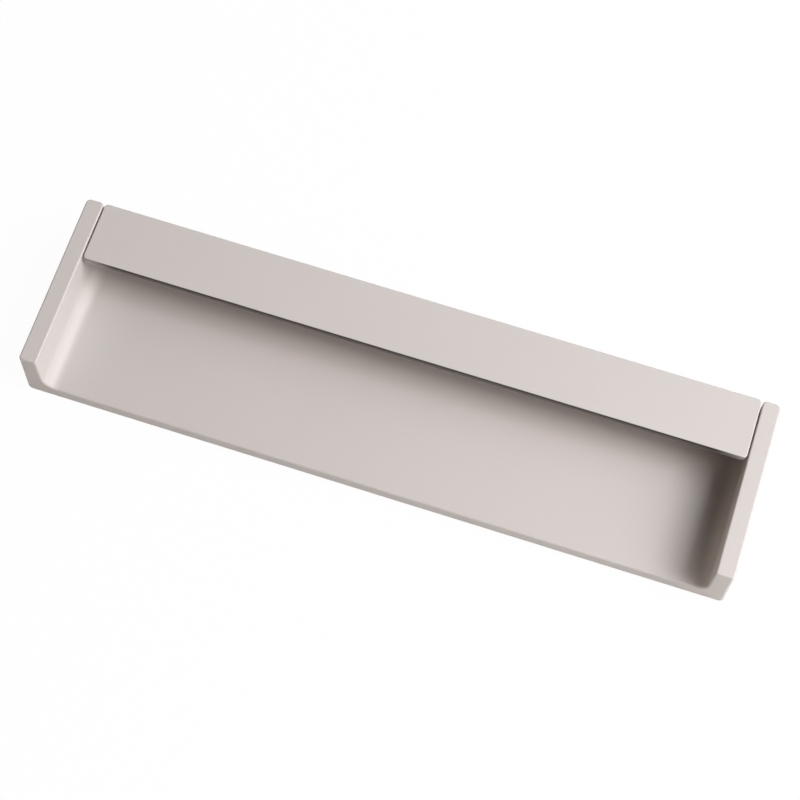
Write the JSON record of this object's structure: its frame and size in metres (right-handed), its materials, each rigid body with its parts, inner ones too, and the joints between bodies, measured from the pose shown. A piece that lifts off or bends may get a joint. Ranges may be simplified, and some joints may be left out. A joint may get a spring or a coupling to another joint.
{
  "type": "cup pull handle",
  "caption": "Surface-mounted cup pull with a shallow tray, two end walls and a flat grip bar along the upper edge; fingers reach in from the open lower side.",
  "frame": {"origin": "middle of the mounting face, which lies on the level floor", "axes": "+X along the handle, +Y from the open finger edge towards the grip bar, +Z out of the mounting face towards the user"},
  "size_m": [0.17, 0.044, 0.017],
  "materials": {
    "powder_coat": "matte"
  },
  "bodies": {
    "root": {"tray": "powder_coat", "grip_bar": "powder_coat"}
  },
  "joints": []
}
